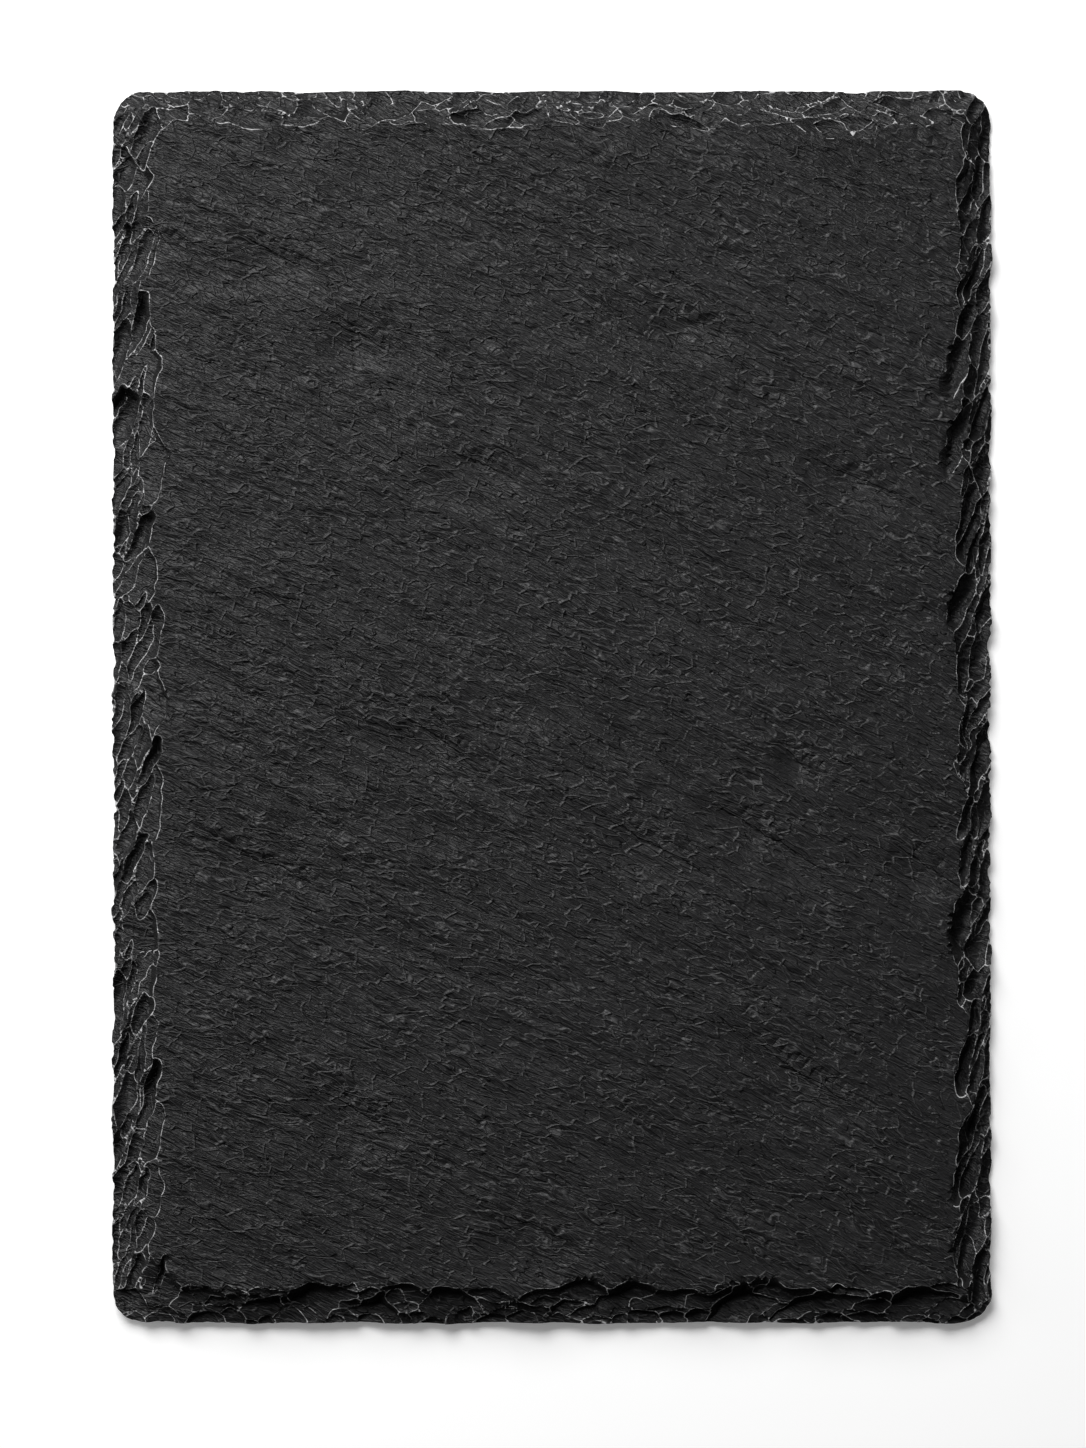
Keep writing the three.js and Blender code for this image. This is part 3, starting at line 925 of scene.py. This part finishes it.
def stretched(tree, place, size):
    """Places in millimetres divided by the size of the pattern along each axis."""
    inverse = tuple(1 / length for length in size)
    sockets = {0: place, 1: inverse}
    return add(tree, "ShaderNodeVectorMath", sockets, operation="MULTIPLY").outputs[0]


def cloud(tree, place, size, detail=2.0, output=0, axes="3D"):
    """Noise whose features are about the given size in millimetres."""
    sockets = {"Vector": stretched(tree, place, size), "Scale": 1.0}
    sockets.update({"Detail": detail, "Roughness": 0.55})
    return add(tree, "ShaderNodeTexNoise", sockets, noise_dimensions=axes).outputs[output]


def strayed(tree, place, size, amount):
    """Places moved in plan by (noise of the given size less 0.5) times the given amounts."""
    sockets = {0: cloud(tree, place, size, 0.0, "Color", "2D"), 1: (0.5, 0.5, 0.5)}
    middle = add(tree, "ShaderNodeVectorMath", sockets, operation="SUBTRACT")
    sockets = {0: middle.outputs[0], 1: amount, 2: place}
    return add(tree, "ShaderNodeVectorMath", sockets, operation="MULTIPLY_ADD").outputs[0]


def grain_place(tree, slope, bend):
    """Object coordinates in millimetres as u along the grain, v across it, and z. The grain falls
    to the right by slope at the middle and turns by bend for each mm: v is 0.93 times (y plus
    slope times x plus bend times x squared over 2), u is 0.93 times (x less slope times y)."""
    where = add(tree, "ShaderNodeTexCoord").outputs["Object"]
    sockets = {"Vector": where, "Scale": (1 / MM,) * 3}
    mapped = add(tree, "ShaderNodeMapping", sockets).outputs[0]
    x, y, z = add(tree, "ShaderNodeSeparateXYZ", {0: mapped}).outputs
    turn = maths(tree, "MULTIPLY_ADD", x, bend / 2, slope)
    across = maths(tree, "MULTIPLY", maths(tree, "MULTIPLY_ADD", x, turn, y), 0.93)
    along = maths(tree, "MULTIPLY", maths(tree, "MULTIPLY_ADD", y, -slope, x), 0.93)
    return add(tree, "ShaderNodeCombineXYZ", {0: along, 1: across, 2: z}).outputs[0]


def cleavage_steps(tree, place, size, count, riser):
    """Low steps along the level lines of a stretched noise, count of them over its range. Each
    rises in the last part of its level."""
    level = maths(tree, "MULTIPLY", cloud(tree, place, size, 1.0), count)
    part = maths(tree, "FRACT", level)
    rise = ramp(tree, part, 1.0 - riser, 1.0)
    return maths(tree, "ADD", maths(tree, "FLOOR", level), rise)


def cell_scales(tree, place, size):
    """Scales of cleaved stone: cells of the plan around scattered points, stretched to a size. The
    first output is each scale's own level, the second the distance to the nearest border
    between two scales, in shares of the size."""
    sockets = {"Vector": stretched(tree, place, size), "Scale": 1.0, "Randomness": 0.95}
    plan = {"voronoi_dimensions": "2D"}
    own = add(tree, "ShaderNodeTexVoronoi", sockets, **plan).outputs["Color"]
    level = add(tree, "ShaderNodeSeparateColor", {0: own}).outputs[0]
    plan["feature"] = "DISTANCE_TO_EDGE"
    border = add(tree, "ShaderNodeTexVoronoi", sockets, **plan).outputs["Distance"]
    return level, border


def shingles(tree, place, pitch, size, stray):
    """Thin scales that overlap up the slab. The phase is the distance across the grain over
    the pitch, strayed by noise of the given size; the level rises evenly with it and falls
    back in the last sixth. The second output is 1 on that lip, 0 elsewhere."""
    across = add(tree, "ShaderNodeSeparateXYZ", {0: place}).outputs[1]
    noise_part = maths(tree, "MULTIPLY", cloud(tree, place, size, 1.0), stray * 2)
    phase = maths(tree, "MULTIPLY_ADD", across, 1 / pitch, noise_part)
    part = maths(tree, "FRACT", phase)
    fall = ramp(tree, part, 0.84, 1.0)
    level = maths(tree, "SUBTRACT", part, fall)
    lip = maths(tree, "MULTIPLY", ramp(tree, part, 0.78, 0.84), maths(tree, "SUBTRACT", 1.0, fall))
    return level, lip


def weighted(tree, *pairs):
    """The sum of outputs, each times its weight."""
    total = 0.0
    for output, weight in pairs:
        total = maths(tree, "MULTIPLY_ADD", output, weight, total)
    return total


def scaly_grain(tree, place, wavy):
    """The larger grain: overlapping scales where they show, steps along level lines, and stretched
    cells with raised borders, stronger where the slab is crazed, more so to the left. As pairs
    of height and weight; and where the painted highlight goes: pale lines on the lips and the
    borders."""
    shingle, lip = shingles(tree, wavy, 2.9, (5.0, 3.2, 3.0), 1.5)
    shown = ramp(tree, cloud(tree, place, (13, 6, 5), 1.0), 0.4, 0.62)
    steps = cleavage_steps(tree, wavy, (11.0, 2.3, 2.4), 5.0, 0.14)
    level, border = cell_scales(tree, wavy, (6.4, 1.6, 2.5))
    along = add(tree, "ShaderNodeSeparateXYZ", {0: place}).outputs[0]
    leftward = maths(tree, "MULTIPLY_ADD", along, -0.0005, cloud(tree, place, (26, 15, 9), 1.0))
    crazed = ramp(tree, leftward, 0.42, 0.58, 0.3, 1.0)
    ridge = maths(tree, "MULTIPLY", ramp(tree, border, 0.0, 0.075, 1.0, 0.0), crazed)
    pairs = [
        (maths(tree, "MULTIPLY", shingle, shown), 0.15),
        (steps, 0.13),
        (maths(tree, "MULTIPLY", level, crazed), 0.09),
        (ridge, 0.12),
    ]
    return pairs, maths(tree, "MAXIMUM", maths(tree, "MULTIPLY", lip, shown), ridge)


def fine_grain(tree, place, hatch, drift):
    """The finer grain: small cells and their borders, striae, long low ripples and strokes, grit,
    and cracks along the middle line of a noise where it is open. As pairs of height and weight;
    and the striae and the cracks by themselves."""
    bent = strayed(tree, hatch, (2.4, 1.6, 2.0), (0.8, 0.45, 0.0))
    level, border = cell_scales(tree, bent, (3.4, 0.85, 1.2))
    swayed = strayed(tree, hatch, (9, 5, 5), (1.5, 1.2, 0.0))
    striae = cloud(tree, swayed, (3.0, 0.45, 0.5), 1.0)
    halves = maths(tree, "SUBTRACT", cloud(tree, hatch, (7.5, 2.4, 2.0), 1.0), 0.5)
    middle_line = ramp(tree, maths(tree, "ABSOLUTE", halves), 0.0, 0.012, 1.0, 0.0)
    open_part = ramp(tree, cloud(tree, hatch, (7, 5, 5), 1.0), 0.55, 0.66)
    crack = maths(tree, "MULTIPLY", middle_line, open_part)
    pairs = [
        (level, 0.03),
        (ramp(tree, border, 0.0, 0.11, 1.0, 0.0), 0.02),
        (striae, 0.13),
        (cloud(tree, drift, (14, 4.0, 6.0), 1.0), 0.24),
        (cloud(tree, hatch, (34, 4.5, 6.0), 1.0), 0.42),
        (cloud(tree, place, (0.6, 0.45, 0.4), 1.0), 0.025),
        (crack, -0.2),
    ]
    return pairs, striae, crack


def ledge_step(tree, wavy):
    """Each ledge's drop as a sharp step: come to over 0.24 mm at its line, which is frayed by fine
    noise."""
    cut = add(tree, "ShaderNodeAttribute", attribute_name="cut").outputs["Fac"]
    away = add(tree, "ShaderNodeAttribute", attribute_name="away").outputs["Fac"]
    fray = maths(tree, "SUBTRACT", cloud(tree, wavy, (1.8, 1.4, 1.4)), 0.5)
    return maths(tree, "MULTIPLY", cut, ramp(tree, maths(tree, "ADD", away, fray), -0.1, 0.14))


def crushed_and_highlit_arrises(tree, place):
    """How much paler crushed stone, partly a painted highlight, there is: 1 on an arris, 0 at 0.14
    mm from it, in patches.
    """
    crest = add(tree, "ShaderNodeAttribute", attribute_name="crest").outputs["Fac"]
    # Paler crushed stone on each arris, partly a painted highlight.
    worn = ramp(tree, crest, 0.01, 0.14, 1.0, 0.0)
    patchy = ramp(tree, cloud(tree, place, (3.0, 3.0, 3.0), 3.0), 0.34, 0.58, 0.1, 1.0)
    return maths(tree, "MULTIPLY", worn, patchy)


def slate_material():
    """Dark slate: a riven grain in the bump, a slow change of tone, pale lines on the scales that
    are a painted highlight, broken sides painted near black as shade and made rougher, and paler
    crushed stone along the arrises, whose paleness is partly a painted highlight."""
    material = bpy.data.materials.new("riven_slate")
    material.use_nodes = True
    tree = material.node_tree
    tree.nodes.clear()
    place = grain_place(tree, 0.5, 0.0012)
    hatch = grain_place(tree, 0.6, 0.0006)
    drift = strayed(tree, place, (18, 8, 9), (4.0, 2.4, 0.0))
    wavy = strayed(tree, drift, (3.6, 2.4, 3.0), (1.4, 0.75, 0.0))

    large, lines = scaly_grain(tree, place, wavy)
    fine, striae, crack = fine_grain(tree, place, hatch, drift)
    height = weighted(tree, *large, *fine)
    along = add(tree, "ShaderNodeSeparateXYZ", {0: place}).outputs[0]
    height = maths(tree, "MULTIPLY", height, ramp(tree, along, -150.0, 150.0, 1.16, 0.76))
    height = maths(tree, "SUBTRACT", height, ledge_step(tree, wavy))
    sockets = {"Strength": 1.0, "Distance": BUMP_DEPTH * MM, "Height": height}
    bump = add(tree, "ShaderNodeBump", sockets)

    side = add(tree, "ShaderNodeAttribute", attribute_name="side").outputs["Fac"]
    # The broken sides of the flakes and the rim: painted near black as shade, and rougher.
    wall_shade_and_rough = ramp(tree, side, 0.0, 0.12)
    tone = ramp(tree, cloud(tree, drift, (60, 22, 20), 2.0), 0.3, 0.7, smooth=False)
    colour = mixed(tree, tone, 1.0, DEEP_TONE, HIGH_TONE)
    # Painted highlight: pale lines on the lips and borders of the scales.
    colour = mixed(tree, lines, 0.42, colour, PAINTED_LINE_HIGHLIGHT)
    colour = mixed(tree, crack, 0.8, colour, CRACK_DARK)
    colour = mixed(tree, wall_shade_and_rough, 0.85, colour, PAINTED_WALL_SHADE)
    # Paler crushed stone along the arrises, partly a painted highlight.
    colour = mixed(tree, crushed_and_highlit_arrises(tree, place), 0.85, colour, CRUSHED_AND_HIGHLIGHT)
    rough = ramp(tree, striae, 0.3, 0.7, 0.46, 0.56, smooth=False)
    rough = maths(tree, "MULTIPLY_ADD", wall_shade_and_rough, 0.45, rough)
    shader = add(tree, "ShaderNodeBsdfPrincipled", {"Base Color": colour, "Roughness": rough})
    shader.inputs["Specular IOR Level"].default_value = 0.36
    tree.links.new(bump.outputs[0], shader.inputs["Normal"])
    output = add(tree, "ShaderNodeOutputMaterial")
    tree.links.new(shader.outputs[0], output.inputs[0])
    return material


# The studio


def make_floor():
    """A wide white sheet just under the slab, a little brighter than its light alone makes it. It
    isn't mirrored in the slab, whose broken sides stay black."""
    span = FLOOR_SPAN
    mesh = bpy.data.meshes.new("floor")
    corners = [(-span, -span, 0), (span, -span, 0), (span, span, 0), (-span, span, 0)]
    mesh.from_pydata(corners, [], [(0, 1, 2, 3)])
    floor = bpy.data.objects.new("floor", mesh)
    floor.location.z = -FLOOR_DROP
    floor.visible_glossy = False
    bpy.context.collection.objects.link(floor)
    material = bpy.data.materials.new("floor_white")
    material.use_nodes = True
    shader = material.node_tree.nodes["Principled BSDF"]
    shader.inputs["Base Color"].default_value = (FLOOR_WHITE,) * 3 + (1,)
    shader.inputs["Roughness"].default_value = 0.9
    shader.inputs["Specular IOR Level"].default_value = 0.0
    shader.inputs["Emission Color"].default_value = (1, 1, 1, 1)
    shader.inputs["Emission Strength"].default_value = FLOOR_GLOW
    mesh.materials.append(material)


def area_light(name, place, size, power):
    """A square lamp at a place in metres, facing the middle of the slab's back."""
    lamp = bpy.data.lights.new(name, "AREA")
    lamp.shape = "SQUARE"
    lamp.size = size
    lamp.energy = power
    holder = bpy.data.objects.new(name, lamp)
    holder.location = place
    holder.rotation_euler = (-Vector(place)).to_track_quat("-Z", "Y").to_euler()
    bpy.context.collection.objects.link(holder)


def make_lights():
    """A soft key from the upper left, near enough to fall off over the slab, a weak low light from
    the left that catches the edges, and a dim room."""
    area_light("key", *KEY_LIGHT)
    area_light("side", *SIDE_LIGHT)
    world = bpy.data.worlds.new("room")
    world.use_nodes = True
    sky = world.node_tree.nodes["Background"]
    sky.inputs["Color"].default_value = (1, 1, 1, 1)
    sky.inputs["Strength"].default_value = ROOM_GLOW
    bpy.context.scene.world = world
    bpy.context.scene.view_settings.view_transform = "Standard"


def make_camera():
    """Straight above, long side of the picture 329 mm on the floor's plane, through a long lens."""
    camera = bpy.data.cameras.new("camera")
    camera.lens = LENS
    camera.sensor_width = 36
    camera.clip_start = 0.01
    holder = bpy.data.objects.new("camera", camera)
    holder.location = CAMERA_PLACE
    bpy.context.collection.objects.link(holder)
    bpy.context.scene.camera = holder


make_camera()
make_lights()
make_floor()
slab = make_slab()
slab.data.materials.append(slate_material())
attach(slab, "root")
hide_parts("slab")
